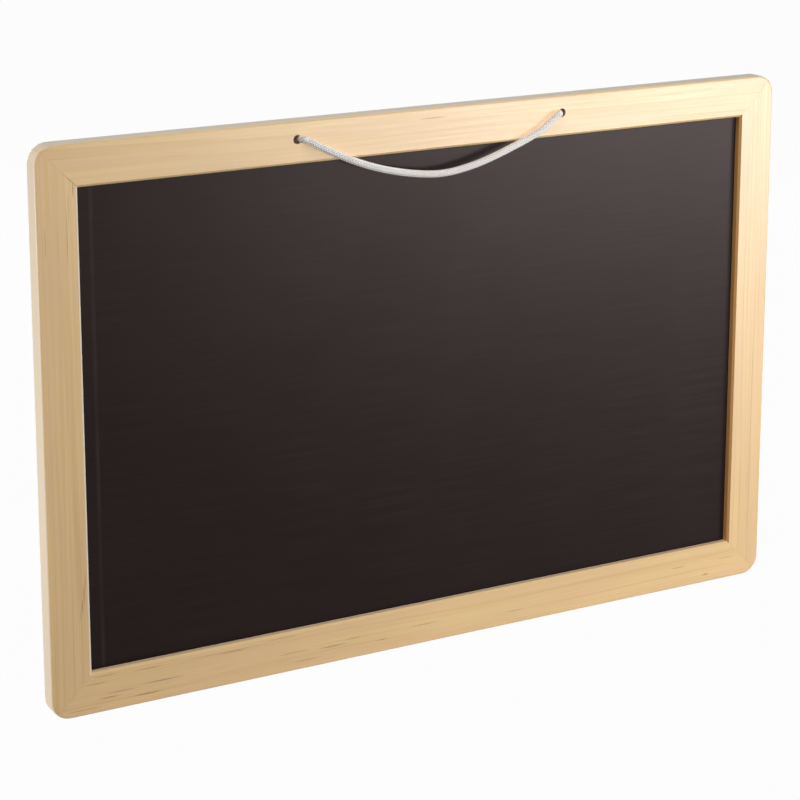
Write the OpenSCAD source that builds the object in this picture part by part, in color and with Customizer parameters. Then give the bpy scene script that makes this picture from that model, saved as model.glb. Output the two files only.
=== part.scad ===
// Small framed chalkboard with a cord loop to hang it by.
// A black hardboard panel sits in a groove inside four mitred pine rails.
// The cord passes through two holes in the top rail and ends in a knot behind each.
// Millimetres. X runs to the right, Y runs to the back and Z runs up.
// The origin is under the middle of the board, on the surface that it stands on.

/* [Board] */
// Width over the frame
board_w = 300; // [220:5:420]
// Height over the frame
board_h = 200; // [140:5:300]

/* [Frame] */
// Width of each rail, seen from the front
rail_w = 15; // [14:0.5:24]
// Thickness of the frame, front to back
frame_t = 7; // [6.5:0.5:14]
// Radius of the outer corners, seen from the front
corner_r = 7; // [5:0.5:9]
// Radius of the long outer edges
arris_r = 0.8; // [0.5:0.1:2]
// Planed off the outer edges once they are rounded, so that the board stands on a flat
edge_planed = 0.05; // [0.02:0.01:0.1]
// Bevel on the inner edges, front and back
inner_bevel = 0.8; // [0.3:0.1:1.2]
// Thickness of the glue in a mitre
glue_line = 0.06; // [0.04:0.02:0.2]

/* [Panel] */
// Thickness of the hardboard
panel_t = 2.5; // [2:0.1:3.2]
// Depth from the front of the frame to the face of the panel
panel_recess = 3; // [2:0.1:3.4]
// Depth of the groove in the rails
groove_depth = 5; // [3:0.5:5]
// Play between each face of the panel and the groove
face_play = 0.15; // [0.05:0.05:0.3]
// Play between the edge of the panel and the bottom of the groove
edge_play = 0.5; // [0.2:0.1:0.8]

/* [Corner nails] */
// Length of each leg of a V-shaped nail
nail_leg = 6; // [4:0.5:8]
// Height of a nail, which is the depth that it is driven to
nail_h = 5; // [3:0.5:6]
// Thickness of the nail's steel
nail_t = 0.5; // [0.4:0.1:0.8]
// Diameter of the curl along the end of each leg
nail_curl_d = 1; // [0.8:0.1:1.4]
// Distance from the outer edges to the point of the V
nail_inset = 4.5; // [4:0.5:6]
// Depth of the nail's top below the back of the frame
nail_sunk = 0.2; // [0.1:0.1:0.5]
// Play all round a nail in the wood
nail_play = 0.05; // [0.02:0.01:0.1]

/* [Cord] */
// Diameter of the braided cord
cord_d = 2.5; // [2:0.1:3.6]
// Distance between the two cord holes
hole_span = 108; // [80:1:140]
// Distance from the top of the frame to the middle of a hole
hole_drop = 6.4; // [5:0.1:7.5]
// Difference between a hole and the cord in it
hole_play = 0.5; // [0.3:0.1:1]
// Gap between the hanging loop and the front of the frame
loop_gap = 0.4; // [0.3:0.1:0.8]
// Gap at each end of the hanging loop, where it meets the cord out of the hole
swing_gap = 0.3; // [0.2:0.1:0.6]
// Gap between a knot and the back of the frame
knot_gap = 0.3; // [0.2:0.1:0.6]

/* [Hidden] */
$fn = 64;

// Colours of the wood, the panel, the steel and the cord
pine = "#EBCB94";
black_paint = "#2B2827";
steel = "#B9BBBD";
cotton = "#EFE8DC";

// Planes through the thickness of the board
front_y = -frame_t / 2;
back_y = frame_t / 2;
panel_front_y = front_y + panel_recess;

// Outline of the panel, which reaches into the groove on all sides
panel_inset = rail_w - groove_depth + edge_play;
panel_w = board_w - 2 * panel_inset;
panel_h = board_h - 2 * panel_inset;

// Width of a rail and radius of a corner before the outer edges are planed
rough_w = rail_w + edge_planed;
rough_corner_r = corner_r + edge_planed;

// Setback of a mitre along its rail, for half the glue
mitre_setback = glue_line / sqrt(2);
// Turn of a rounded corner that belongs to one rail, with some to spare for the mitre cut
corner_turn = 60;
// How far a cut runs past the face that it opens
cut_over = 1;

// The cord, and its holes
cord_sides = 8;
hole_z = board_h - hole_drop;
hole_d = cord_d + hole_play;

// The cord leaves each hole in a quarter bend and meets the loop end to end, on the line
// that the loop swings about. Both run straight where they meet.
bend_r = cord_d / 2 + loop_gap;
bend_step = 22.5;
bend_lead = 0.5;
loop_lead = 0.8;
loop_y = front_y - bend_r;
loop_end = hole_span / 2 - bend_r - bend_lead - swing_gap;

// Drop of the hanging loop below the holes, at equal steps from left to right
loop_drops = [
  0, 3.4, 6.2, 8.8, 11, 12.85, 14.35, 15.55, 16.45, 17,
  16.9, 16.15, 15, 13.45, 11.6, 9.6, 7.4, 4.6, 0
];
loop_step = 2 * (loop_end - loop_lead) / (len(loop_drops) - 1);

// An overhand knot lies flat on the rail behind each hole: two strands twist round each other,
// and a bight hangs below them and joins the end of the first to the start of the second.
// Points are outwards from the middle of the knot, up from the hole, and back from the knot's
// middle plane, and these sizes are drawn for a cord of this diameter.
knot_cord_d = 3;
// Distance from the hole to the middle of the knot
knot_from_hole = 11;
// Length of a full turn of the twist, its radius, its turn each way, and the turn from point to point
knot_pitch = 10;
knot_twist_r = 1.9;
knot_turn = 210;
knot_turn_step = 42;
// The cord on its way into the twist, half of the bight, its lowest point, and the loose tail
knot_lead = [[-10.8, 0.6, -1.6], [-9.6, 1.6, 0], [-7.8, 2, 1]];
knot_bight = [[7, -3, 1], [6.5, -5, 0.5], [4, -6.5, 0]];
knot_low = [0, -7, 0];
knot_tail = [[8, 2, -1], [11, 2.4, -1.2], [15, 2, -1.4]];
// Rings of the tube from each point to the next
knot_steps = 2;
// Two points further apart than this many diameters along the cord are on different turns
turn_apart = 2.7;
knot_scale = cord_d / knot_cord_d;
knot_y = back_y + knot_gap + cord_d / 2 + knot_twist_r * knot_scale;

// Geometry helpers

// Extrudes a shape drawn from the front, from one depth to another
module through(from_y, to_y) {
  translate([0, to_y, 0])
    rotate([90, 0, 0])
      linear_extrude(to_y - from_y)
        children();
}

function unit(v) = v / norm(v);

function heading(route, i) =
  unit(route[min(i + 1, len(route) - 1)] - route[max(i - 1, 0)]);

// Side directions of the rings, each carried on from the one before with no twist
function carried(side, along) = unit(side - (side * along) * along);
function ring_sides(route, side, i = 0) =
  i == len(route) ? []
  : let (here = carried(side, heading(route, i)))
    concat([here], ring_sides(route, here, i + 1));

// A smooth curve through hand-set points, with a number of steps from each to the next
function spline_point(a, b, c, d, t) =
  0.5 * (2 * b + (c - a) * t + (2 * a - 5 * b + 4 * c - d) * t * t
  + (3 * b - a - 3 * c + d) * t * t * t);
function smooth(route, steps) = let (last = len(route) - 1) concat(
  [for (i = [0 : last - 1], k = [0 : steps - 1]) spline_point(
    route[max(i - 1, 0)], route[i], route[i + 1], route[min(i + 2, last)], k / steps)],
  [route[last]]
);

// Length of a route up to each of its points
function run_lengths(route, i = 0, run = 0) =
  i == len(route) - 1 ? [run]
  : concat([run], run_lengths(route, i + 1, run + norm(route[i + 1] - route[i])));

// Least distance between two turns of a tube, measured on the route's points
function least_gap(route, diameter) = let (run = run_lengths(route), last = len(route) - 1) min(
  [for (i = [0 : last - 1], j = [i + 1 : last])
    if (run[j] - run[i] > turn_apart * diameter) norm(route[i] - route[j])]
) - diameter;

// A tube swept along a route
module tube(route, diameter, side) {
  rings = len(route);
  sides = ring_sides(route, side);
  points = [
    for (i = [0 : rings - 1], k = [0 : cord_sides - 1])
      let (turn = 360 * k / cord_sides, across = cross(heading(route, i), sides[i]))
        route[i] + diameter / 2 * (cos(turn) * sides[i] + sin(turn) * across)
  ];
  next = [for (k = [0 : cord_sides - 1]) (k + 1) % cord_sides];
  wall = [
    for (i = [0 : rings - 2], k = [0 : cord_sides - 1], half = [0, 1])
      let (a = i * cord_sides, b = a + cord_sides)
        half == 0 ? [a + k, b + k, a + next[k]] : [a + next[k], b + k, b + next[k]]
  ];
  far = (rings - 1) * cord_sides;
  ends = [
    for (k = [1 : cord_sides - 2], end = [0, 1])
      end == 0 ? [0, k, k + 1] : [far, far + k + 1, far + k]
  ];
  polyhedron(points, concat(wall, ends), convexity = 6);
}

// Frame

// Section of a rail: across from the outer edge before it is planed, and back from the front
module rail_section() {
  groove_t = panel_t + 2 * face_play;
  difference() {
    union() {
      translate([arris_r, 0])
        square([rough_w - arris_r, frame_t]);
      translate([0, arris_r])
        square([rough_w, frame_t - 2 * arris_r]);
      for (y = [arris_r, frame_t - arris_r])
        translate([arris_r, y])
          circle(arris_r);
    }
    translate([rough_w - groove_depth, panel_recess - face_play])
      square([groove_depth + cut_over, groove_t]);
    polygon([[rough_w - inner_bevel, 0], [rough_w, 0], [rough_w, inner_bevel]]);
    polygon([[rough_w, frame_t - inner_bevel], [rough_w, frame_t], [rough_w - inner_bevel, frame_t]]);
  }
}

// Straight rail cut off square, with its outer edge on the X axis once it is planed
module straight_rail(length) {
  translate([-length / 2, front_y, edge_planed])
    rotate([0, 90, 0])
      linear_extrude(length)
        rail_section();
}

// Outer part of a rail, turned round the corner at the right-hand end
module turned_corner(length) {
  translate([length / 2 - corner_r, front_y, -corner_r])
    rotate([-90, 0, 0])
      rotate([0, 0, -90])
        rotate_extrude(angle = corner_turn)
          intersection() {
            translate([rough_corner_r, 0])
              mirror([1, 0])
                rail_section();
            square([rough_corner_r, frame_t]);
          }
}

// Inner part of a rail, which runs on into the corner
module corner_run(length) {
  difference() {
    straight_rail(length);
    translate([-length / 2 - cut_over, front_y - cut_over, -corner_r])
      cube([length + 2 * cut_over, frame_t + 2 * cut_over, corner_r + cut_over]);
  }
}

// Outline of a rail from the front, planed along its outer edge and cut to a mitre at both ends
module mitred_outline(length) {
  outer = length / 2 - mitre_setback;
  inner = outer - rail_w;
  polygon([
    [-outer, 0], [outer, 0],
    [inner - cut_over, -rail_w - cut_over], [-inner + cut_over, -rail_w - cut_over]
  ]);
}

// One rail of the frame, with its outer edge on the X axis
module rail(length) {
  difference() {
    intersection() {
      union() {
        straight_rail(length - 2 * corner_r);
        corner_run(length);
        turned_corner(length);
        mirror([1, 0, 0])
          turned_corner(length);
      }
      through(front_y - cut_over, back_y + cut_over)
        mitred_outline(length);
    }
    for (end = [0, 1])
      mirror([end, 0, 0])
        translate([length / 2, 0, 0])
          corner_nail(nail_play, nail_sunk + cut_over);
  }
}

// V-shaped nail for the corner up and right of it, with room round it and above it
module corner_nail(play, above) {
  point = -nail_inset;
  through(back_y - nail_sunk - nail_h - play, back_y - nail_sunk + above)
    translate([point, point]) {
      for (turn = [180, -90])
        rotate(turn)
          translate([-nail_t / 2 - play, -nail_t / 2 - play])
            square([nail_leg + nail_t / 2 + play, nail_t + 2 * play]);
      for (tip = [[-nail_leg, 0], [0, -nail_leg]])
        translate(tip)
          circle(nail_curl_d / 2 + play);
    }
}

module top_rail() color(pine) {
  difference() {
    translate([0, 0, board_h])
      rail(board_w);
    for (side = [-1, 1])
      translate([side * hole_span / 2, back_y + cut_over, hole_z])
        rotate([90, 0, 0])
          cylinder(h = frame_t + 2 * cut_over, d = hole_d);
  }
}

module bottom_rail() color(pine)
  rotate([0, 180, 0])
    rail(board_w);

module left_stile() color(pine)
  translate([-board_w / 2, 0, board_h / 2])
    rotate([0, -90, 0])
      rail(board_h);

module right_stile() color(pine)
  translate([board_w / 2, 0, board_h / 2])
    rotate([0, 90, 0])
      rail(board_h);

// Corner nails, named by the corner that they hold
module nail_at(right, top) color(steel)
  translate([0, 0, top * board_h])
    mirror([1 - right, 0, 0])
      translate([board_w / 2, 0, 0])
        mirror([0, 0, 1 - top])
          corner_nail(0, 0);

// Panel

module chalk_panel() color(black_paint)
  translate([-panel_w / 2, panel_front_y, panel_inset])
    cube([panel_w, panel_t, panel_h]);

// Cord

module cord_loop() color(cotton) {
  route = concat(
    [[-loop_end, loop_y, hole_z]],
    [for (i = [0 : len(loop_drops) - 1])
      [loop_lead - loop_end + i * loop_step, loop_y, hole_z - loop_drops[i]]],
    [[loop_end, loop_y, hole_z]]
  );
  echo(loop_length = run_lengths(route)[len(route) - 1]);
  tube(route, cord_d, [0, 1, 0]);
}

// A point of one of the two strands that twist round each other in a knot
function twist(turn, strand) = [
  knot_pitch * turn / 360,
  strand * knot_twist_r * sin(turn),
  -strand * knot_twist_r * cos(turn)
];

// One end of the cord: from the loop, through the right-hand hole and into the knot behind it
module cord_end() color(cotton) {
  turns = [-knot_turn : knot_turn_step : knot_turn];
  far_bight = [for (i = [len(knot_bight) - 1 : -1 : 0])
    [-knot_bight[i][0], knot_bight[i][1], -knot_bight[i][2]]];
  knot = concat(
    knot_lead, [for (turn = turns) twist(turn, 1)],
    knot_bight, [knot_low], far_bight,
    [for (turn = turns) twist(turn, -1)], knot_tail
  );
  bend_x = hole_span / 2 - bend_r;
  bend = [for (turn = [0 : bend_step : 90 - bend_step])
    [bend_x + bend_r * sin(turn), front_y - bend_r * cos(turn), hole_z]];
  in_hole = [for (y = [front_y, 0, back_y]) [hole_span / 2, y, hole_z]];
  behind = [for (p = knot) [
    hole_span / 2 + (knot_from_hole + p[0]) * knot_scale,
    knot_y + p[2] * knot_scale,
    hole_z + p[1] * knot_scale
  ]];
  route = concat(
    [[bend_x - bend_lead, loop_y, hole_z]], bend,
    smooth(concat(in_hole, behind), knot_steps)
  );
  echo(least_gap_in_knot = least_gap(route, cord_d));
  tube(route, cord_d, [0, 0, 1]);
}

module right_cord_end()
  cord_end();

module left_cord_end()
  mirror([1, 0, 0])
    cord_end();

top_rail();
bottom_rail();
left_stile();
right_stile();
chalk_panel();
nail_at(0, 1);  // top_left_nail
nail_at(1, 1);  // top_right_nail
nail_at(0, 0);  // bottom_left_nail
nail_at(1, 0);  // bottom_right_nail
cord_loop();
left_cord_end();
right_cord_end();
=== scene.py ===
import math

import bpy
import numpy as np
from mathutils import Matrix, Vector


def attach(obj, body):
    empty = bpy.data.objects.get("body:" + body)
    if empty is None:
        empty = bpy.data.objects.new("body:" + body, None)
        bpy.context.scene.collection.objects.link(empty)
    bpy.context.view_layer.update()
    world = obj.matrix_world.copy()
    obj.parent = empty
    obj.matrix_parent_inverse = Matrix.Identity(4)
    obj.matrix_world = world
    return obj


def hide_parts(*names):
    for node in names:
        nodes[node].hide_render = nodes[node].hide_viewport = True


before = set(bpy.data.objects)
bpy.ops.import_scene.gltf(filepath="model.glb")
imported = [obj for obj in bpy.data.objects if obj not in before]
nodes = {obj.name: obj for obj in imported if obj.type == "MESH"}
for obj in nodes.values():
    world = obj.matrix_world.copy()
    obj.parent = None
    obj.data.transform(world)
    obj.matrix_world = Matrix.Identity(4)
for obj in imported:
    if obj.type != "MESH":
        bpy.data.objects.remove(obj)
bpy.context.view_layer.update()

MM = 0.001
# The CAD's board and rails, in millimetres
BOARD_HALF_W = 150.0
BOARD_HALF_H = 100.0
RAIL_W = 15.0

scene = bpy.context.scene
scene.view_settings.view_transform = "Standard"


# Camera

CAMERA_PLACE = (-0.4405, -0.7545, 0.3503)
CAMERA_ANGLES = (76.819, 0.0, -29.613)
CAMERA_LENS = 112.72
CAMERA_SHIFT = -0.18


def make_camera():
    """The photograph's viewpoint, fitted to the edges of the board's frame."""
    data = bpy.data.cameras.new("camera")
    data.sensor_width = 36.0
    data.lens = CAMERA_LENS
    data.shift_y = CAMERA_SHIFT
    data.clip_start = 0.01
    camera = bpy.data.objects.new("camera", data)
    camera.location = CAMERA_PLACE
    camera.rotation_euler = [math.radians(a) for a in CAMERA_ANGLES]
    scene.collection.objects.link(camera)
    scene.camera = camera


make_camera()


def new_piece(name, points, faces):
    """An object of its own, from points in metres."""
    mesh = bpy.data.meshes.new(name)
    mesh.from_pydata(points, [], faces)
    mesh.update()
    piece = bpy.data.objects.new(name, mesh)
    scene.collection.objects.link(piece)
    return piece


# Cord routes, in millimetres, with the same points as the CAD

CORD_D = 2.5
HOLE_X = 54.0
HOLE_Z = 193.6
LOOP_Y = -5.15
LOOP_END = 51.7
LOOP_DROPS = [
    0, 3.4, 6.2, 8.8, 11, 12.85, 14.35, 15.55, 16.45, 17,
    16.9, 16.15, 15, 13.45, 11.6, 9.6, 7.4, 4.6, 0,
]
LOOP_STEPS_END = 50.75

# The cord in a hole: inwards from the hole's axis, and back
HOLE_ROUTE = [
    (2.3, -5.15), (1.7, -4.65), (1.15, -3.95), (0.9, -3.0),
    (0.75, -1.7), (0.45, 0.0), (0.13, 2.0), (0.0, 3.5),
]
# The hole squeezes the cord: depth, and share of the full thickness there
SQUEEZE_Y = [-5.15, -4.4, -3.8, -1.7, 1.8, 4.0]
SQUEEZE = [1.0, 0.8, 0.5, 0.5, 0.9, 1.0]

# The knot, drawn for a cord of 3 mm: two strands twist round each other, and a bight joins them
KNOT_SCALE = CORD_D / 3
KNOT_X = HOLE_X + 11 * KNOT_SCALE
KNOT_Y = 6.633
KNOT_PITCH = 10.0
KNOT_TWIST_R = 1.9
KNOT_TURNS = range(-210, 211, 42)
KNOT_LEAD = [(-10.8, 0.6, -1.6), (-9.6, 1.6, 0), (-7.8, 2, 1)]
KNOT_BIGHT = [(7, -3, 1), (6.5, -5, 0.5), (4, -6.5, 0)]
KNOT_LOW = (0, -7, 0)
KNOT_TAIL = [(8, 2, -1), (11, 2.4, -1.2), (15, 2, -1.4)]

# The braid: strands each way round, length of a stitch, height of its relief, and the share of
# that height that lies inside the cord's round
STRANDS = 6
STITCH = 1.15
RELIEF = 0.36
BRAID_SUNK = 0.75
# A strand is round across and flatter along its stitch, and a cord's poles are half way up
ROUND_ACROSS = 0.8
FLAT_ALONG = 0.35
POLE_HEIGHT = 0.5
RING_POINTS = 36
RING_STEP = STITCH / 6
DOME_STEPS = 5


def loop_route():
    """The free loop, from the left hole to the right one."""
    steps = len(LOOP_DROPS) - 1
    inner = [
        (-LOOP_STEPS_END + 2 * LOOP_STEPS_END * i / steps, LOOP_Y, HOLE_Z - LOOP_DROPS[i])
        for i in range(1, steps)
    ]
    return [(-LOOP_END, LOOP_Y, HOLE_Z), *inner, (LOOP_END, LOOP_Y, HOLE_Z)]


def twist_point(turn, strand):
    """A point of one of the knot's two twisted strands, 1 or -1."""
    angle = math.radians(turn)
    return (
        KNOT_PITCH * turn / 360,
        strand * KNOT_TWIST_R * math.sin(angle),
        -strand * KNOT_TWIST_R * math.cos(angle),
    )


def end_route():
    """The right-hand end of the cord, from the loop through the hole and the knot."""
    in_hole = [(HOLE_X - inwards, y, HOLE_Z) for inwards, y in HOLE_ROUTE]
    far_bight = [(-a, b, -c) for a, b, c in reversed(KNOT_BIGHT)]
    knot = [
        *KNOT_LEAD, *(twist_point(t, 1) for t in KNOT_TURNS),
        *KNOT_BIGHT, KNOT_LOW, *far_bight,
        *(twist_point(t, -1) for t in KNOT_TURNS), *KNOT_TAIL,
    ]
    s = KNOT_SCALE
    return in_hole + [(KNOT_X + a * s, KNOT_Y + c * s, HOLE_Z + b * s) for a, b, c in knot]


def smooth(points, steps=16):
    """A dense smooth curve through the points, by the Catmull-Rom formula."""
    p = np.array([points[0], *points, points[-1]], float)
    t = np.arange(steps)[:, None] / steps
    spans = [
        0.5 * (2 * b + (c - a) * t + (2 * a - 5 * b + 4 * c - d) * t**2
               + (3 * b - a - 3 * c + d) * t**3)
        for a, b, c, d in zip(p[:-3], p[1:-2], p[2:-1], p[3:])
    ]
    return np.vstack([*spans, p[-1:]])


def even(path, step):
    """The same curve with points at equal distances along it."""
    run = np.concatenate([[0], np.cumsum(np.linalg.norm(np.diff(path, axis=0), axis=1))])
    at = np.linspace(0, run[-1], int(round(run[-1] / step)) + 1)
    return np.column_stack([np.interp(at, run, path[:, k]) for k in range(3)]), at


def unit(v):
    return v / np.linalg.norm(v, axis=-1, keepdims=True)


def carried_sides(along, side):
    """Side directions of the rings, each carried on from the one before with no twist."""
    found = []
    for direction in along:
        side = unit(side - (side @ direction) * direction)
        found.append(side)
    return np.array(found)


def braid(turn, run):
    """Height of the braid from 0 to 1, at an angle round the cord and a length along it."""
    u = STRANDS * turn / (2 * math.pi) + run / STITCH
    v = STRANDS * turn / (2 * math.pi) - run / STITCH
    hump_u, hump_v = np.abs(np.sin(math.pi * u)), np.abs(np.sin(math.pi * v))
    over = (np.floor(u) + np.floor(v)) % 2 == 0
    across = np.where(over, hump_u, hump_v)
    along = np.where(over, hump_v, hump_u)
    return across**ROUND_ACROSS * along**FLAT_ALONG


def tube_faces(rings):
    """Faces of a closed tube of rings, whose two poles are its last points."""
    count = RING_POINTS
    last, near_pole = (rings - 1) * count, rings * count
    faces = [
        (i * count + k, i * count + (k + 1) % count,
         (i + 1) * count + (k + 1) % count, (i + 1) * count + k)
        for i in range(rings - 1) for k in range(count)
    ]
    for k in range(count):
        faces.append((near_pole, (k + 1) % count, k))
        faces.append((near_pole + 1, last + k, last + (k + 1) % count))
    return faces


def dome(path, along, sides, width, run, size, end):
    """Smaller and smaller rings that round off one end of a cord, 0 or -1, from it outwards."""
    lift = np.radians(np.linspace(0, 90, DOME_STEPS + 1))[1:-1]
    reach = CORD_D / 2 * np.sin(lift) * (1 if end else -1)
    at = [end] * len(lift)
    return (path[at] + along[at] * reach[:, None], along[at], sides[at], width[at],
            run[at] + reach, size[at] * np.cos(lift))


def cord_piece(name, route, side, squeezed=False):
    """A braided cord as one closed mesh with rounded ends. Returns it and its ring centres."""
    path, run = even(smooth(route), RING_STEP)
    along = unit(np.gradient(path, axis=0))
    sides = carried_sides(along, np.array(side, float))
    size = np.ones(len(path))
    width = np.interp(path[:, 1], SQUEEZE_Y, SQUEEZE) if squeezed else size
    radius = CORD_D / 2
    poles = [path[0] - along[0] * radius, path[-1] + along[-1] * radius]
    middle = (path, along, sides, width, run, size)
    path, along, sides, width, run, size = (
        np.concatenate([near[::-1], between, far])
        for near, between, far in zip(dome(*middle, 0), middle, dome(*middle, -1))
    )
    turn = 2 * math.pi * np.arange(RING_POINTS) / RING_POINTS
    height = braid(turn[None, :], run[:, None])
    reach = (radius + RELIEF * (height - BRAID_SUNK)) * size[:, None]
    across = np.cross(along, sides)
    rings = (path[:, None, :]
             + (reach * np.cos(turn))[..., None] * sides[:, None, :]
             + (reach * np.sin(turn) * width[:, None])[..., None] * across[:, None, :])
    points = np.vstack([rings.reshape(-1, 3), poles])
    piece = new_piece(name, (points * MM).tolist(), tube_faces(len(path)))
    mesh = piece.data
    heights = np.append(height, [POLE_HEIGHT, POLE_HEIGHT]).astype(np.float32)
    mesh.attributes.new("relief", "FLOAT", "POINT").data.foreach_set("value", heights)
    mesh.polygons.foreach_set("use_smooth", [True] * len(mesh.polygons))
    mesh.update()
    return piece, path * MM


def mirrored(route):
    return [(-x, y, z) for x, y, z in route]


def make_cord():
    """The free loop and the two knotted ends, in place of the plain cord solids."""
    loop, loop_path = cord_piece("hanging_cord", loop_route(), (0, 1, 0))
    right, _ = cord_piece("right_cord_knot", end_route(), (0, 0, 1), squeezed=True)
    left, _ = cord_piece("left_cord_knot", mirrored(end_route()), (0, 0, 1), squeezed=True)
    for piece, body, node in (
        (loop, "hanging_loop", "cord_loop"),
        (right, "frame", "right_cord_end"),
        (left, "frame", "left_cord_end"),
    ):
        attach(piece, body)
        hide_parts(node)
    return [loop, left, right]


cord_pieces = make_cord()


# Glue in the mitres

# Film of glue behind the front of a mitre: in from the frame's outer edges, and back
GLUE_OUTLINE = [
    (2.9, -3.46), (14.1, -3.46), (14.85, -2.75), (14.85, -2.0), (2.3, -2.0), (2.3, -2.9),
]
GLUE_HALF_T = 0.026


def glue_film(name, side, end):
    """A thin film in one mitre. Side is -1 at the left, and end is -1 at the bottom."""
    shift = GLUE_HALF_T / math.sqrt(2)
    points = [
        (side * (BOARD_HALF_W - inset + face * shift), y,
         BOARD_HALF_H + end * (BOARD_HALF_H - inset - face * shift))
        for face in (-1, 1) for inset, y in GLUE_OUTLINE
    ]
    count = len(GLUE_OUTLINE)
    faces = [tuple(range(count)), tuple(range(2 * count - 1, count - 1, -1))]
    faces += [(k, count + k, count + (k + 1) % count, (k + 1) % count) for k in range(count)]
    if side * end < 0:
        faces = [tuple(reversed(f)) for f in faces]
    film = new_piece(name, [tuple(c * MM for c in p) for p in points], faces)
    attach(film, "frame")
    return film


glue_films = [
    glue_film(place + "_glue", side, end) for place, side, end in (
        ("top_left", -1, 1), ("top_right", 1, 1), ("bottom_left", -1, -1), ("bottom_right", 1, -1),
    )
]


# Materials

class Nodes:
    """The node tree of a material or world, built up socket by socket."""

    def __init__(self, owner):
        owner.use_nodes = True
        self.owner = owner
        self.tree = owner.node_tree
        self.tree.nodes.clear()

    def add(self, kind, inputs=(), output=0, **settings):
        node = self.tree.nodes.new("ShaderNode" + kind)
        for key, value in settings.items():
            setattr(node, key, value)
        for key, value in dict(inputs).items():
            self.feed(node.inputs[key], value)
        return node.outputs[output]

    def feed(self, socket, value):
        if isinstance(value, bpy.types.NodeSocket):
            self.tree.links.new(value, socket)
        else:
            socket.default_value = value

    def math(self, operation, *values):
        return self.add("Math", dict(enumerate(values)), operation=operation)

    def squares(self, a, b):
        """The sum of two squares."""
        return self.math("ADD", self.math("MULTIPLY", a, a), self.math("MULTIPLY", b, b))

    def split(self, vector):
        node = self.tree.nodes.new("ShaderNodeSeparateXYZ")
        self.feed(node.inputs[0], vector)
        return node.outputs[0], node.outputs[1], node.outputs[2]

    def join(self, x, y, z):
        return self.add("CombineXYZ", {0: x, 1: y, 2: z})

    def stretched(self, parts, scales):
        """A vector of three parts, each times a scale per metre."""
        return self.join(*[self.math("MULTIPLY", p, s) for p, s in zip(parts, scales)])

    def noise(self, vector, detail=2.0, roughness=0.5, distortion=0.0):
        return self.add("TexNoise", {
            "Vector": vector, "Scale": 1.0, "Detail": detail,
            "Roughness": roughness, "Distortion": distortion,
        })

    def fade(self, value, low, high, to_low=0.0, to_high=1.0):
        """A smooth step of a value from low to high."""
        return self.add("MapRange", {0: value, 1: low, 2: high, 3: to_low, 4: to_high},
                        interpolation_type="SMOOTHSTEP")

    def mix(self, share, a, b, blend="MIX"):
        return self.add("Mix", {0: share, 6: a, 7: b}, output=2,
                        data_type="RGBA", blend_type=blend)

    def ramp(self, value, stops):
        node = self.tree.nodes.new("ShaderNodeValToRGB")
        elements = node.color_ramp.elements
        while len(elements) < len(stops):
            elements.new(1.0)
        for element, (position, colour) in zip(elements, stops):
            element.position = position
            element.color = colour
        self.feed(node.inputs[0], value)
        return node.outputs[0]

    def bump(self, height, distance, strength=1.0):
        return self.add("Bump", {"Height": height, "Distance": distance, "Strength": strength})

    def finish(self, colour, roughness, normal=None, **constants):
        inputs = {"Base Color": colour, "Roughness": roughness}
        inputs.update({key.replace("_", " "): value for key, value in constants.items()})
        if normal is not None:
            inputs["Normal"] = normal
        self.add_output(self.add("BsdfPrincipled", inputs))
        return self.owner

    def add_output(self, surface, kind="Material"):
        node = self.tree.nodes.new("ShaderNodeOutput" + kind)
        self.tree.links.new(surface, node.inputs["Surface"])


def new_material(name):
    return Nodes(bpy.data.materials.new(name))


def rgb(red, green, blue):
    """A colour as seen on a screen, from 0 to 255, as linear light."""
    def linear(c):
        c /= 255
        return c / 12.92 if c <= 0.04045 else ((c + 0.055) / 1.055) ** 2.4
    return (linear(red), linear(green), linear(blue), 1.0)


PINE_PALE = rgb(234, 200, 144)
PINE_MID = rgb(231, 195, 137)
PINE_LATE = rgb(227, 188, 128)
PINE_ROSY = rgb(231, 192, 142)
# Painted sheen: a paler colour for the faces that turn outwards
PINE_EDGE_SHEEN = rgb(238, 224, 200)
# Painted highlight for an inner bevel that catches the light
PINE_BEVEL_HIGHLIGHT = rgb(252, 240, 220)
# Painted shade for an inner bevel and wall that face away from the light
PINE_WALL_SHADE = rgb(204, 150, 86)
# Painted highlight for the bottom rail's inner wall, which faces up
PINE_SILL_HIGHLIGHT = rgb(255, 222, 184)
PINE_DASH = rgb(198, 152, 96)
PINE_STREAK = rgb(130, 84, 40)
MITRE_LINE = rgb(146, 104, 62)
# Painted shade inside the cord holes
HOLE_SHADE = rgb(150, 104, 60)
# Radius of the hole's painted shade, and where the opened mitre fades in from the side, in metres
HOLE_EDGE = 0.00165
OPEN_MITRE = (0.0085, 0.013)


def streak_mask(m, along, across, streaks):
    """Resin streaks, listed one by one: middle along and across, length, width (mm) and strength.
    """
    total = 0.0
    for middle, height, length, width, strength in streaks:
        a = m.math("MULTIPLY", m.math("SUBTRACT", along, middle * MM), 2 / (length * MM))
        c = m.math("MULTIPLY", m.math("SUBTRACT", across, height * MM), 2 / (width * MM))
        total = m.math("MAXIMUM", total, m.fade(m.squares(a, c), 1.0, 0.0, 0.0, strength))
    return total


def opened_mitre(m, x, z):
    """Distance in from the nearer side, and 1 where the top left mitre has opened."""
    from_side = m.math("SUBTRACT", BOARD_HALF_W * MM, m.math("ABSOLUTE", x))
    at_left = m.math("LESS_THAN", x, 0.0)
    at_top = m.math("GREATER_THAN", z, BOARD_HALF_H * MM)
    open_corner = m.math("MULTIPLY", at_left, at_top)
    return from_side, m.math("MULTIPLY", open_corner, m.fade(from_side, *OPEN_MITRE))


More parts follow.
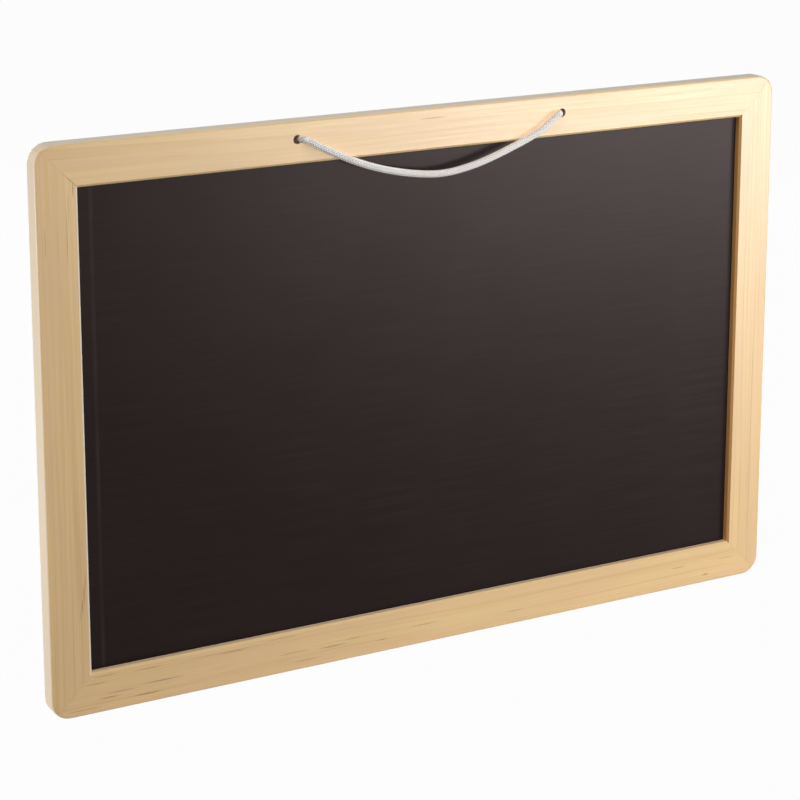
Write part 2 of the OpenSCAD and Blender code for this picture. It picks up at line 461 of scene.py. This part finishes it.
def pine_rings(m, along, across, y):
    """Colour of the wood's rings, and the level across them, which its fibres follow."""
    wander = m.noise(m.stretched((along, across, y), (7, 30, 30)), detail=1.0)
    wander = m.math("MULTIPLY", m.math("SUBTRACT", wander, 0.5), 0.004)
    level = m.math("ADD", m.math("ADD", across, wander), m.math("MULTIPLY", y, 0.8))
    uneven = m.noise(m.stretched((along, level, y), (2.5, 260, 60)), detail=2.0)
    ring = m.math("FRACT", m.math("ADD", m.math("MULTIPLY", level, 110.0),
                                  m.math("MULTIPLY", uneven, 3.4)))
    colour = m.ramp(ring, [(0.0, PINE_PALE), (0.5, PINE_MID), (0.88, PINE_LATE), (1.0, PINE_PALE)])
    tone = m.noise(m.stretched((along, across, y), (9, 130, 60)), detail=2.0)
    colour = m.mix(m.fade(tone, 0.38, 0.62, 0.0, 0.8), colour, PINE_ROSY)
    lines = m.noise(m.stretched((along, level, y), (6, 1000, 400)), detail=1.0)
    return m.mix(m.fade(lines, 0.58, 0.74, 0.0, 0.32), colour, PINE_DASH), level


def with_mitres(m, colour, x, z):
    """The colour with a thin line along each mitre, dark where the top left one has opened."""
    from_side, opened = opened_mitre(m, x, z)
    from_end = m.math("MINIMUM", z, m.math("SUBTRACT", 2 * BOARD_HALF_H * MM, z))
    mitre = m.math("ABSOLUTE", m.math("SUBTRACT", from_side, from_end))
    strength = m.fade(opened, 0.0, 1.0, 0.07, 0.6)
    line = m.math("MULTIPLY", m.fade(mitre, 0.0003, 0.0001), strength)
    return m.mix(line, colour, MITRE_LINE)


def with_faces(m, colour, grain, x, z, bevel_highlight_or_shade, wall_highlight_or_shade):
    """The colour changed by the way that the surface faces: end grain, outer faces painted paler
    as a painted sheen, and the inner bevel and wall in the given colours of painted highlight or
    painted shade.
    """
    facing_x, _, facing_z = m.split(m.add("TexCoord", output="Normal"))
    endwise = m.math("ABSOLUTE", facing_x if grain == "x" else facing_z)
    colour = m.mix(m.fade(endwise, 0.3, 1.0, 0.0, 0.35), colour, PINE_DASH)
    above = m.math("SUBTRACT", z, BOARD_HALF_H * MM)
    out_x = m.math("MULTIPLY", facing_x, m.math("SIGN", x))
    out_z = m.math("MULTIPLY", facing_z, m.math("SIGN", above))
    outwards = m.math("MAXIMUM", out_x, out_z)
    inwards = m.math("MULTIPLY", m.math("MINIMUM", out_x, out_z), -1.0)
    # Faces that turn outwards are painted paler, a painted sheen
    colour = m.mix(m.fade(outwards, 0.35, 0.9, 0.0, 0.7), colour, PINE_EDGE_SHEEN)
    # The inner bevel and wall take the given colours of painted highlight or painted shade
    colour = m.mix(m.fade(inwards, 0.3, 0.6, 0.0, 0.95), colour, bevel_highlight_or_shade)
    return m.mix(m.fade(inwards, 0.8, 0.95), colour, wall_highlight_or_shade)


def with_holes(m, colour, x, z):
    """The colour with painted shade inside the two cord holes."""
    hole_x = m.math("SUBTRACT", m.math("ABSOLUTE", x), HOLE_X * MM)
    hole_z = m.math("SUBTRACT", z, HOLE_Z * MM)
    from_hole = m.math("SQRT", m.squares(hole_x, hole_z))
    return m.mix(m.math("LESS_THAN", from_hole, HOLE_EDGE), colour, HOLE_SHADE)


def pine(name, grain, seed, streaks, bevel_highlight_or_shade, wall_highlight_or_shade):
    """Sanded pine with its grain along a rail: rings, fibres, resin dashes and the mitres, with
    painted sheen, highlights and shade on its faces and in its holes.
    """
    m = new_material(name)
    x, y, z = m.split(m.add("TexCoord", output="Object"))
    along, across = (x, z) if grain == "x" else (z, x)
    shifted = m.math("ADD", along, seed)
    colour, level = pine_rings(m, shifted, across, y)

    # Fibres and blotches
    fibre = m.noise(m.stretched((shifted, level, y), (22, 1500, 1500)), detail=3.0, roughness=0.6)
    fine = m.noise(m.stretched((shifted, level, y), (95, 4500, 4500)), detail=2.0)
    blotch = m.noise(m.stretched((shifted, across, y), (14, 60, 60)), detail=2.0)
    shade = m.math("ADD", m.math("MULTIPLY", fibre, 0.12), m.math("MULTIPLY", fine, 0.08))
    shade = m.math("ADD", shade, m.math("MULTIPLY", blotch, 0.2))
    shade = m.math("ADD", shade, 0.8)
    colour = m.mix(1.0, colour, m.join(shade, shade, shade), "MULTIPLY")

    # Short dashes, and the resin streaks
    dash_place = (m.math("ADD", shifted, 3.1), level, y)
    dash = m.noise(m.stretched(dash_place, (34, 1500, 1500)), detail=1.0)
    colour = m.mix(m.fade(dash, 0.71, 0.8, 0.0, 0.35), colour, PINE_DASH)
    rag = m.noise(m.stretched((shifted, across, y), (160, 1100, 0)), detail=2.0)
    rag = m.math("MULTIPLY", m.math("SUBTRACT", rag, 0.5), 0.0003)
    ragged = m.math("ADD", across, rag)
    colour = m.mix(streak_mask(m, along, ragged, streaks), colour, PINE_STREAK)

    colour = with_mitres(m, colour, x, z)
    colour = with_faces(m, colour, grain, x, z, bevel_highlight_or_shade, wall_highlight_or_shade)
    colour = with_holes(m, colour, x, z)
    rough = m.fade(fibre, 0.2, 0.8, 0.41, 0.33)
    height = m.math("ADD", m.math("MULTIPLY", fibre, 0.7), m.math("MULTIPLY", fine, 0.3))
    return m.finish(colour, rough, m.bump(height, 0.00012, 0.3), Specular_IOR_Level=0.55)


def glue():
    """Dried wood glue, pale as the pine, and dark where the top left mitre has opened."""
    m = new_material("mitre_glue")
    x, y, z = m.split(m.add("TexCoord", output="Object"))
    _, opened = opened_mitre(m, x, z)
    blotch = m.noise(m.stretched((x, y, z), (700, 700, 700)), detail=2.0)
    colour = m.mix(m.fade(blotch, 0.35, 0.65, 0.0, 0.5), PINE_MID, PINE_DASH)
    colour = m.mix(opened, colour, MITRE_LINE)
    return m.finish(colour, m.fade(blotch, 0.3, 0.7, 0.35, 0.5), m.bump(blotch, 0.00002, 0.4))


PAINT_DARK = (0.0035, 0.0010, 0.0008, 1.0)
PAINT_DUSTY = (0.0100, 0.0052, 0.0048, 1.0)
PAINT_RUBBED = (0.024, 0.017, 0.016, 1.0)
# Painted shadow of the frame on the panel's edges
PAINT_EDGE_SHADE = (0.0060, 0.0012, 0.0003, 1.0)
PAINT_SPECULAR = 0.16
PAINT_TINT = (1.0, 0.8, 0.77, 1.0)
HARDBOARD = rgb(128, 88, 54)
HARDBOARD_DARK = rgb(92, 60, 36)
# Half of the panel's seen width and height, the wipe mark's place, the pitch of the back's mesh
# and the depth that parts the panel's front from its back, in metres
PANEL_SEEN_X = (BOARD_HALF_W - RAIL_W) * MM
PANEL_SEEN_Z = (BOARD_HALF_H - RAIL_W) * MM
WIPE_MARK_X = -0.1295
MESH_PITCH = 0.0016
PANEL_MID_Y = 0.0002


def board_paint(m, x, y, z):
    """Brushed black paint with dust, a wipe mark and a painted shadow along the frame: its colour,
    roughness and height.
    """
    haze = m.noise(m.stretched((x, y, z), (14, 0, 9)), detail=3.0, roughness=0.6, distortion=0.6)
    brushed = m.noise(m.stretched((x, y, z), (28, 0, 1300)), detail=2.0)
    dust = m.noise(m.stretched((x, y, z), (2600, 0, 2600)), detail=2.0)
    mark = m.math("ABSOLUTE", m.math("SUBTRACT", x, WIPE_MARK_X))
    worn = m.noise(m.stretched((x, y, z), (60, 0, 45)), detail=1.0)
    worn = m.fade(worn, 0.3, 0.7, 0.35, 0.8)
    mark = m.math("MULTIPLY", m.fade(mark, 0.0011, 0.0001), worn)
    dusty = m.math("ADD", m.fade(haze, 0.35, 0.75, 0.0, 0.5), m.fade(brushed, 0.4, 0.7, 0.0, 0.3))
    dusty = m.math("ADD", dusty, m.fade(dust, 0.55, 0.8, 0.0, 0.25))
    paint = m.mix(m.math("MINIMUM", dusty, 1.0), PAINT_DARK, PAINT_DUSTY)
    paint = m.mix(mark, paint, PAINT_RUBBED)
    from_middle = m.math("ABSOLUTE", m.math("SUBTRACT", z, BOARD_HALF_H * MM))
    edge_x = m.math("SUBTRACT", PANEL_SEEN_X, m.math("ABSOLUTE", x))
    edge_z = m.math("SUBTRACT", PANEL_SEEN_Z, from_middle)
    # A thin band along the frame, painted darker as a painted shadow, and also made rougher
    edge_shade = m.fade(m.math("MINIMUM", edge_x, edge_z), 0.0009, 0.0003)
    paint = m.mix(edge_shade, paint, PAINT_EDGE_SHADE)
    rough = m.fade(brushed, 0.3, 0.7, 0.29, 0.33)
    rough = m.math("ADD", rough, m.math("MULTIPLY", edge_shade, 0.5))
    height = m.math("ADD", m.math("MULTIPLY", brushed, 0.5), m.math("MULTIPLY", dust, 0.5))
    return paint, rough, height


def bare_hardboard(m, x, y, z):
    """Brown hardboard with the mesh of its press: its colour and height."""
    weave = [m.math("SINE", m.math("MULTIPLY", c, 2 * math.pi / MESH_PITCH)) for c in (x, z)]
    weave = m.fade(m.math("MAXIMUM", *weave), -0.2, 0.9)
    fibres = m.noise(m.stretched((x, y, z), (900, 0, 900)), detail=4.0, roughness=0.7)
    brown = m.mix(m.fade(fibres, 0.3, 0.7), HARDBOARD_DARK, HARDBOARD)
    brown = m.mix(m.math("MULTIPLY", weave, 0.45), brown, HARDBOARD_DARK)
    height = m.math("ADD", m.math("MULTIPLY", weave, -4.0), m.math("MULTIPLY", fibres, 2.0))
    return brown, height


def chalk_panel():
    """Satin black paint on the front of the panel, and bare meshed hardboard on its back."""
    m = new_material("chalkboard_paint")
    x, y, z = m.split(m.add("TexCoord", output="Object"))
    back = m.math("GREATER_THAN", y, PANEL_MID_Y)
    paint, front_rough, front_height = board_paint(m, x, y, z)
    brown, back_height = bare_hardboard(m, x, y, z)
    colour = m.mix(back, paint, brown)
    rough = m.math("ADD", front_rough, m.math("MULTIPLY", back, 0.35))
    height = m.math("ADD", front_height, m.math("MULTIPLY", back, back_height))
    return m.finish(colour, rough, m.bump(height, 0.00003, 0.5),
                    Specular_IOR_Level=PAINT_SPECULAR, Specular_Tint=PAINT_TINT)


STEEL_DARK = (0.36, 0.36, 0.37, 1.0)
STEEL_BRIGHT = (0.56, 0.56, 0.57, 1.0)


def nail_steel():
    """Bright strip steel with drawn lines along the nail's height."""
    m = new_material("nail_steel")
    x, y, z = m.split(m.add("TexCoord", output="Object"))
    lines = m.noise(m.stretched((x, y, z), (6000, 300, 6000)), detail=2.0)
    colour = m.ramp(lines, [(0.3, STEEL_DARK), (0.7, STEEL_BRIGHT)])
    rough = m.fade(lines, 0.3, 0.7, 0.42, 0.26)
    return m.finish(colour, rough, m.bump(lines, 0.00002, 0.4), Metallic=1.0)


COTTON_CLEAN = rgb(253, 250, 246)
COTTON_SOILED = rgb(249, 244, 238)
# Painted shade for the hollows of the braid
COTTON_HOLLOW_SHADE = rgb(112, 99, 91)


def cotton():
    """Braided warm-white cotton, with painted shade between its strands."""
    m = new_material("cord")
    x, y, z = m.split(m.add("TexCoord", output="Object"))
    relief = m.add("Attribute", output="Fac", attribute_name="relief")
    fibres = m.noise(m.stretched((x, y, z), (5200, 5200, 5200)), detail=2.0)
    soiled = m.noise(m.stretched((x, y, z), (90, 90, 90)), detail=2.0)
    clean = m.mix(m.fade(soiled, 0.35, 0.7), COTTON_CLEAN, COTTON_SOILED)
    # Painted shade in the hollows between the strands
    colour = m.mix(m.fade(relief, 0.45, 0.12), clean, COTTON_HOLLOW_SHADE)
    return m.finish(colour, 0.9, m.bump(fibres, 0.00006, 0.5),
                    Specular_IOR_Level=0.3, Sheen_Weight=0.4, Sheen_Roughness=0.5)


# Resin streaks of each rail: middle along and across, length, width and strength
TOP_STREAKS = [
    (0.0, 196.4, 13.0, 0.6, 0.65),
    (119.3, 197.0, 7.0, 0.45, 0.35), (131.2, 196.1, 6.0, 0.45, 0.3),
]
BOTTOM_STREAKS = [
    (-130.3, 13.2, 11.0, 0.5, 0.45), (-134.0, 10.9, 11.0, 0.5, 0.45),
    (-124.5, 6.4, 15.0, 0.5, 0.5), (-128.8, 5.0, 10.0, 0.6, 0.55),
    (-114.5, 3.4, 13.0, 0.6, 0.65), (-109.0, 7.2, 20.0, 0.5, 0.6),
    (-114.0, 12.6, 13.0, 0.5, 0.55), (-138.0, 2.2, 16.0, 0.5, 0.4),
    (-84.0, 12.6, 42.0, 0.45, 0.35), (-62.0, 13.4, 20.0, 0.4, 0.35),
    (-81.5, 12.2, 13.0, 0.5, 0.5), (-57.0, 7.0, 16.0, 0.5, 0.4),
    (-52.5, 3.2, 13.0, 0.5, 0.45), (-41.5, 6.3, 14.0, 0.55, 0.55),
    (-33.0, 7.7, 8.0, 0.45, 0.4), (-21.0, 4.8, 6.0, 0.5, 0.45),
    (-3.6, 7.3, 17.0, 0.5, 0.4), (36.0, 5.1, 10.0, 0.5, 0.35),
    (20.5, 14.4, 2.4, 0.5, 0.5), (111.4, 8.4, 9.0, 0.5, 0.45),
    (124.6, 3.2, 4.5, 0.8, 0.55), (134.5, 8.5, 10.0, 0.4, 0.35),
]
LEFT_STREAKS = [
    (167.4, -147.0, 14.0, 0.45, 0.35), (167.9, -139.3, 24.0, 0.45, 0.45),
    (178.0, -138.6, 16.0, 0.35, 0.3), (184.6, -136.8, 6.5, 0.45, 0.7),
    (48.5, -136.6, 9.0, 0.4, 0.45), (44.0, -137.2, 9.0, 0.45, 0.55),
    (40.0, -137.9, 7.5, 0.45, 0.6), (36.8, -138.5, 6.0, 0.4, 0.45),
    (46.0, -141.5, 150.0, 0.6, 0.12),
]
RIGHT_STREAKS = [
    (60.0, 144.6, 150.0, 0.6, 0.28), (36.0, 140.3, 40.0, 0.5, 0.2),
    (120.0, 139.2, 70.0, 0.4, 0.15),
]


def dress(node, material):
    """Give a shown CAD node its material."""
    nodes[node].data.materials.clear()
    nodes[node].data.materials.append(material)


# The last two colours of each rail go on its inner bevel and inner wall: pale painted highlights
# on the bevels of the top and bottom rails and the left stile and on the bottom rail's sill, and
# painted shade on the right stile's bevel and wall
dress("top_rail", pine("pine_top", "x", 0.37, TOP_STREAKS, PINE_PALE, PINE_LATE))
dress("bottom_rail", pine("pine_bottom", "x", 1.91, BOTTOM_STREAKS, PINE_PALE, PINE_SILL_HIGHLIGHT))
dress("left_stile", pine("pine_left", "z", 2.63, LEFT_STREAKS, PINE_BEVEL_HIGHLIGHT, PINE_LATE))
dress("right_stile", pine("pine_right", "z", 4.18, RIGHT_STREAKS, PINE_WALL_SHADE, PINE_WALL_SHADE))
dress("chalk_panel", chalk_panel())
steel = nail_steel()
for corner in ("top_left", "top_right", "bottom_left", "bottom_right"):
    dress(corner + "_nail", steel)
glue_material = glue()
for film in glue_films:
    film.data.materials.append(glue_material)
cord_material = cotton()
for piece in cord_pieces:
    piece.data.materials.append(cord_material)


# Floor, backdrop and light

FLOOR_HALF = 6.0
FLOOR_COLOUR = (0.45, 0.45, 0.45, 1.0)
WHITE = (1.0, 1.0, 1.0, 1.0)
SEEN_WHITE = 0.975
WORLD_LIGHT = 0.06
LAMP_SPREAD = math.radians(75)
KEY = {"place": (0.66, -0.72, 0.085), "aim": (0.2, 0.0, 0.15), "size": (0.6, 0.16)}


def seen_directly(m):
    """1 for rays that show the background: from the camera, or off gloss."""
    ray = m.tree.nodes.new("ShaderNodeLightPath")
    direct = m.math("MAXIMUM", ray.outputs["Is Camera Ray"], ray.outputs["Is Glossy Ray"])
    return m.math("MAXIMUM", direct, ray.outputs["Is Transmission Ray"])


def make_floor():
    """A plain pale floor that shows white and keeps a faint shadow."""
    h = FLOOR_HALF
    corners = [(-h, -h, 0), (h, -h, 0), (h, h, 0), (-h, h, 0)]
    floor = new_piece("floor", corners, [(0, 1, 2, 3)])
    m = new_material("floor")
    pale = m.add("BsdfDiffuse", {"Color": FLOOR_COLOUR})
    white = m.add("Emission", {"Color": WHITE, "Strength": 1.0})
    share = m.math("MULTIPLY", seen_directly(m), SEEN_WHITE)
    m.add_output(m.add("MixShader", {0: share, 1: pale, 2: white}))
    floor.data.materials.append(m.owner)


def make_world():
    """Even pale light all round, white where it is seen."""
    world = bpy.data.worlds.new("studio")
    scene.world = world
    m = Nodes(world)
    strength = m.fade(seen_directly(m), 0.0, 1.0, WORLD_LIGHT, 1.0)
    m.add_output(m.add("Background", {"Color": WHITE, "Strength": strength}), "World")


def soft_light(name, power, place, aim, size, shadow=True):
    """A soft rectangular lamp, aimed at a point."""
    data = bpy.data.lights.new(name, "AREA")
    data.shape = "RECTANGLE"
    data.size, data.size_y = size
    data.energy = power
    data.spread = LAMP_SPREAD
    data.use_shadow = shadow
    lamp = bpy.data.objects.new(name, data)
    lamp.location = place
    lamp.rotation_euler = (Vector(aim) - Vector(place)).to_track_quat("-Z", "Y").to_euler()
    scene.collection.objects.link(lamp)


make_floor()
make_world()
# The key is in two shares, of which only one casts a shadow, so that the cord's stays faint
soft_light("key", 0.54, **KEY)
soft_light("key_fill", 1.02, **KEY, shadow=False)
soft_light("rim", 0.5, (-0.78, 0.04, 0.1), (-0.15, 0.0, 0.1), (0.2, 0.18))
soft_light("top_soft", 0.5, (-0.2, -0.28, 0.8), (0.0, 0.0, 0.2), (0.4, 0.4))
soft_light("back_soft", 2.2, (0.35, 0.95, 0.11), (0.0, 0.0, 0.11), (0.8, 0.18))
